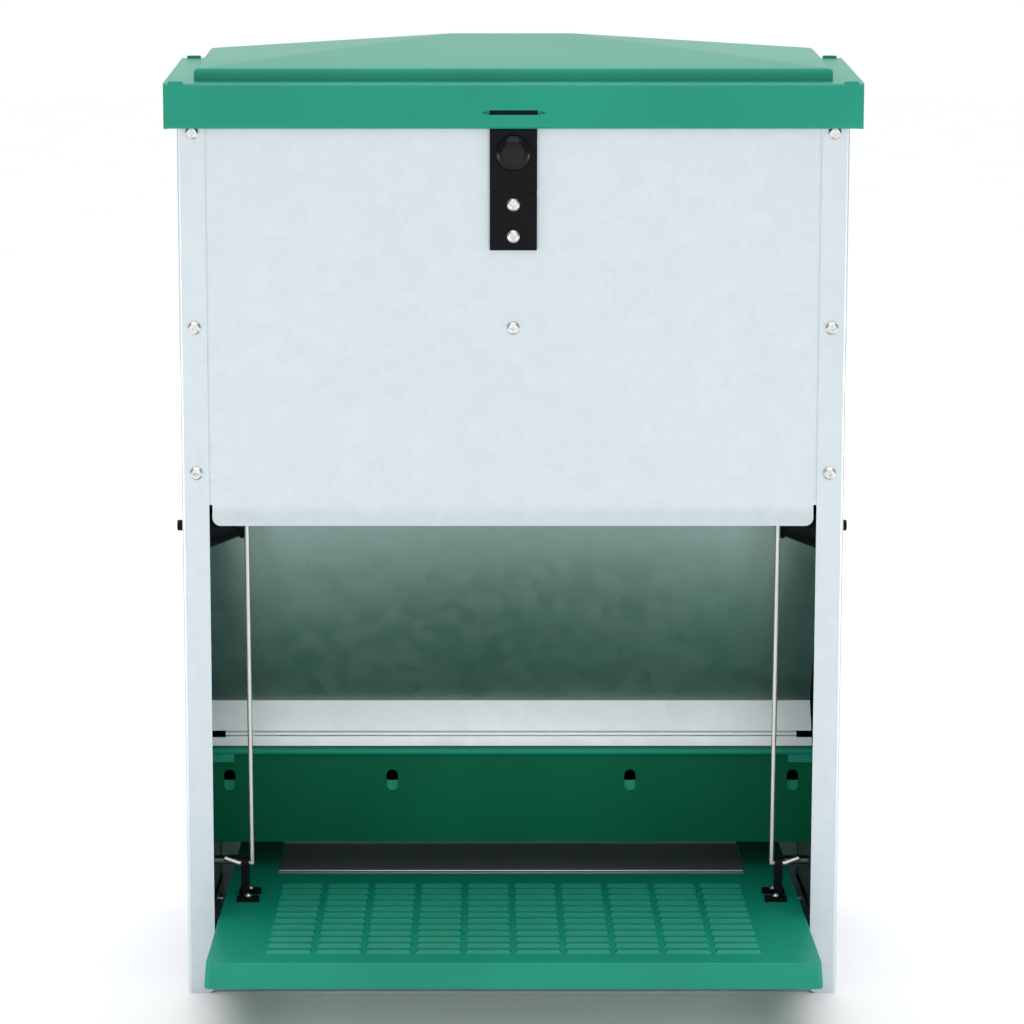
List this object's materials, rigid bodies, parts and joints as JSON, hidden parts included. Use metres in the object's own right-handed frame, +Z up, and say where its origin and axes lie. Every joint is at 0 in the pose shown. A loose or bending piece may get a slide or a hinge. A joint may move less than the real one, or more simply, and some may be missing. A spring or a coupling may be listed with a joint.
{
  "type": "gravity poultry feeder",
  "caption": "Treadle-operated gravity feeder for poultry: sheet-steel hopper with moulded lid, trough and treadle, and a shutter that opens as the bird steps on.",
  "frame": {"origin": "centre of the housing's footprint, on the face that it stands on", "axes": "+Z up, -Y towards the front where the bird stands, +X to the right as seen from the front"},
  "size_m": [0.4084, 0.3, 0.575],
  "materials": {
    "galvanised_sheet": "galvanised, faint spangle",
    "zinc_fastener": "bright zinc plate",
    "steel_wire": "plain drawn wire",
    "green_plastic": "moulded, semi-gloss",
    "black_plastic": "moulded, matt",
    "gloss_black_plastic": "moulded, glossy"
  },
  "bodies": {
    "housing": {"left_side_panel": "galvanised_sheet", "right_side_panel": "galvanised_sheet", "front_panel": "galvanised_sheet", "back_panel": "galvanised_sheet", "base_tray": "galvanised_sheet", "hopper_baffle": "galvanised_sheet", "feed_trough": "green_plastic", "front_screws": "zinc_fastener", "back_screws": "zinc_fastener", "side_screws": "zinc_fastener", "latch_base": "black_plastic", "latch_screws": "zinc_fastener", "left_hinge_leaf": "zinc_fastener", "right_hinge_leaf": "zinc_fastener", "hinge_screws": "zinc_fastener", "left_flap_pin": "black_plastic", "right_flap_pin": "black_plastic", "treadle_axle": "steel_wire", "left_axle_cap": "black_plastic", "right_axle_cap": "black_plastic"},
    "lid": {"lid_shell": "green_plastic", "left_hinge_pin": "steel_wire", "right_hinge_pin": "steel_wire"},
    "catch": {"latch_tongue": "black_plastic", "latch_button": "gloss_black_plastic"},
    "flap": {"flap_sheet": "galvanised_sheet", "left_lever_arm": "black_plastic", "right_lever_arm": "black_plastic", "flap_rivets": "zinc_fastener"},
    "left_rod": {"left_pull_rod": "steel_wire"},
    "right_rod": {"right_pull_rod": "steel_wire"},
    "treadle": {"treadle_plate": "green_plastic", "treadle_channel": "galvanised_sheet", "channel_screws": "zinc_fastener", "left_rod_bracket": "black_plastic", "right_rod_bracket": "black_plastic", "bracket_screws": "zinc_fastener"}
  },
  "joints": [
    {"name": "lid_hinge", "type": "hinge", "parent": "housing", "child": "lid", "pos_m": [0, 0.1076, 0.516], "axis": [-1, 0, 0], "range_deg": [0, 110]},
    {"name": "catch_flex", "type": "hinge", "parent": "housing", "child": "catch", "pos_m": [0, -0.106, 0.4853], "axis": [-1, 0, 0], "range_deg": [0, 3], "stiffness_Nm_per_rad": 0.6, "springref_deg": -1.15},
    {"name": "treadle_tilt", "type": "hinge", "parent": "housing", "child": "treadle", "pos_m": [0, 0.047, 0.038], "axis": [1, 0, 0], "range_deg": [0, 6.9]},
    {"name": "flap_swing", "type": "hinge", "parent": "housing", "child": "flap", "pos_m": [0, -0.048, 0.2773], "axis": [1, 0, 0], "range_deg": [0, 27]},
    {"name": "left_rod_turn", "type": "hinge", "parent": "treadle", "child": "left_rod", "pos_m": [-0.1639, -0.063, 0.069], "axis": [1, 0, 0], "range_deg": [-7.2, 0]},
    {"name": "right_rod_turn", "type": "hinge", "parent": "treadle", "child": "right_rod", "pos_m": [0.1639, -0.063, 0.069], "axis": [1, 0, 0], "range_deg": [-7.2, 0]}
  ],
  "couplings": [
    {"joint": "flap_swing", "follows": "treadle_tilt", "ratio": 3.91},
    {"joint": "left_rod_turn", "follows": "treadle_tilt", "ratio": -1.024},
    {"joint": "right_rod_turn", "follows": "treadle_tilt", "ratio": -1.024}
  ]
}
